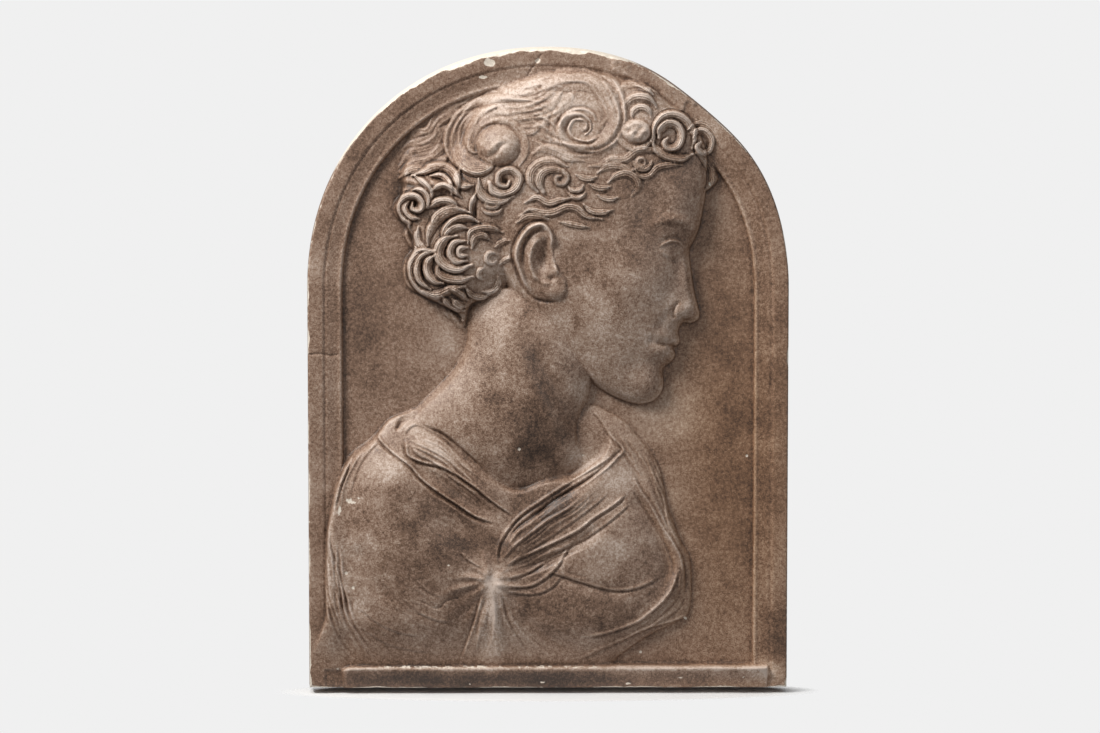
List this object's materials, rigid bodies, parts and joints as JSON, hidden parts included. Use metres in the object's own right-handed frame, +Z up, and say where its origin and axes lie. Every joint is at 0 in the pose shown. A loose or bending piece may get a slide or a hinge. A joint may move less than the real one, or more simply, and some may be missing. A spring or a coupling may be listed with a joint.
{
  "type": "plaster relief panel",
  "caption": "Arch-topped plaster wall relief: profile bust in a draped mantle inside a stepped rim, with a rail along the foot.",
  "frame": {"origin": "centre of the flat back, where the panel lies against the wall", "axes": "+Z up along the panel's height, +Y out of the back into the wall, the relief faces -Y, +X to the viewer's right"},
  "size_m": [0.361, 0.0528, 0.48],
  "materials": {
    "stained_plaster": "brown-stained cast plaster, waxed and rubbed lighter on the high places, bare white at chipped edges"
  },
  "bodies": {
    "root": {"relief_panel": "stained_plaster"}
  },
  "joints": []
}
